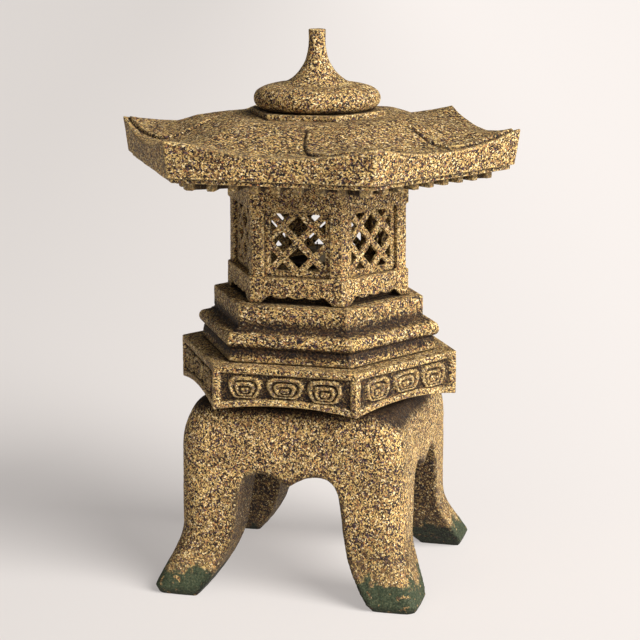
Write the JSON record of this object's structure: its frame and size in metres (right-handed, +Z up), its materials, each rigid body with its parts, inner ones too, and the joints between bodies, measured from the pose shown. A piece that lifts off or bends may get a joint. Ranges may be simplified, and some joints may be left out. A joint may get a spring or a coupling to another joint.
{
  "type": "stone garden lantern",
  "caption": "Carved granite garden lantern: legged square base, hexagonal slab, platform, lattice firebox, upswept roof and finial.",
  "frame": {"origin": "on the ground, under the middle of the lantern", "axes": "+Z up, -Y out of the front firebox face and the base's front arch, +X through a hexagon corner"},
  "size_m": [0.503, 0.4356, 0.6795],
  "materials": {
    "granite": "pitched granite, yellow-beige with black, brown, cream and orange grains",
    "granite_weathered": "the same granite with an olive-tan bloom on its upward faces and dark dirt in its recesses",
    "granite_mossy": "the same granite, moss green on the feet",
    "iron": "blackened iron",
    "wax": "undyed wax",
    "wick": "burnt cotton"
  },
  "bodies": {
    "stonework": {"base_stone": "granite_mossy", "panel_slab": "granite", "stepped_platform": "granite_weathered", "firebox_frame": "granite", "lattice_panel_2": "granite", "lattice_panel_3": "granite", "lattice_panel_4": "granite", "lattice_panel_5": "granite", "lattice_panel_6": "granite"},
    "service_panel": {"lattice_panel_front": "granite"},
    "light": {"candle_dish": "iron", "candle": "wax", "wick": "wick"},
    "roof_stone": {"roof": "granite_weathered"},
    "finial_stone": {"finial": "granite"}
  },
  "joints": [
    {"name": "service_panel_pull", "type": "slide", "parent": "stonework", "child": "service_panel", "axis": [0, -1, 0], "range_m": [0, 0.06]},
    {"name": "light_lift", "type": "slide", "parent": "stonework", "child": "light", "axis": [0, 0, 1], "range_m": [0, 0.06]},
    {"name": "roof_lift", "type": "slide", "parent": "stonework", "child": "roof_stone", "axis": [0, 0, 1], "range_m": [0, 0.1]},
    {"name": "finial_lift", "type": "slide", "parent": "roof_stone", "child": "finial_stone", "axis": [0, 0, 1], "range_m": [0, 0.05]}
  ]
}
